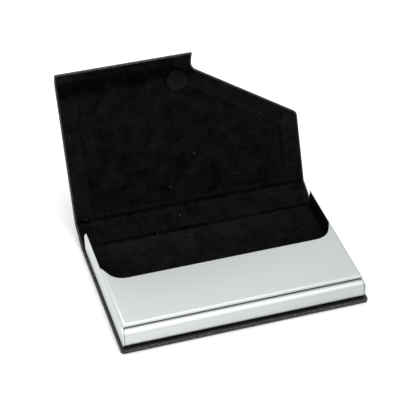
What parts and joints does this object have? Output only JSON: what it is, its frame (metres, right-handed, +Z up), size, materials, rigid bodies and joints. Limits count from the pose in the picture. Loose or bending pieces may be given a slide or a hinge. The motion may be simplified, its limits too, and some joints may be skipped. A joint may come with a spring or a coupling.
{
  "type": "business card case",
  "caption": "Flat business card case standing open: a sheet steel tray with a thumb cut-out on a leathercloth cover, whose felt-lined flap with a curled lip folds over it and shuts by a magnet.",
  "frame": {"origin": "middle of the base's underside, below the middle of the tray", "axes": "+X along the two fold lines, +Y from the tray's nose to the folds, +Z up"},
  "size_m": [0.0952, 0.0932, 0.0629],
  "materials": {
    "leathercloth": "black fine-grained leathercloth, semi-matt",
    "felt": "black short-napped felt",
    "steel": "satin stainless steel",
    "board": "grey-brown binder's board",
    "adhesive": "double-sided adhesive film",
    "magnet": "nickel-plated magnet disc"
  },
  "bodies": {
    "base": {"base_board": "board", "base_cover": "leathercloth", "tray_adhesive": "adhesive", "tray_floor": "steel", "tray_shell": "steel", "floor_felt": "felt", "left_wall_felt": "felt", "right_wall_felt": "felt", "base_fold": "leathercloth"},
    "spine": {"spine_board": "board", "spine_cover": "leathercloth", "spine_lining": "felt", "lid_fold": "leathercloth"},
    "lid": {"lid_board": "board", "lid_cover": "leathercloth", "lid_lining": "felt", "magnet": "magnet", "lip_board": "board", "lip_cover": "leathercloth", "lip_lining": "felt"}
  },
  "joints": [
    {"name": "lower_fold", "type": "hinge", "parent": "base", "child": "spine", "pos_m": [0, 0.03095, 0.00095], "axis": [1, 0, 0], "range_deg": [-26, 64]},
    {"name": "upper_fold", "type": "hinge", "parent": "spine", "child": "lid", "pos_m": [0, 0.0412, 0.00595], "axis": [1, 0, 0], "range_deg": [-42, 48]}
  ]
}
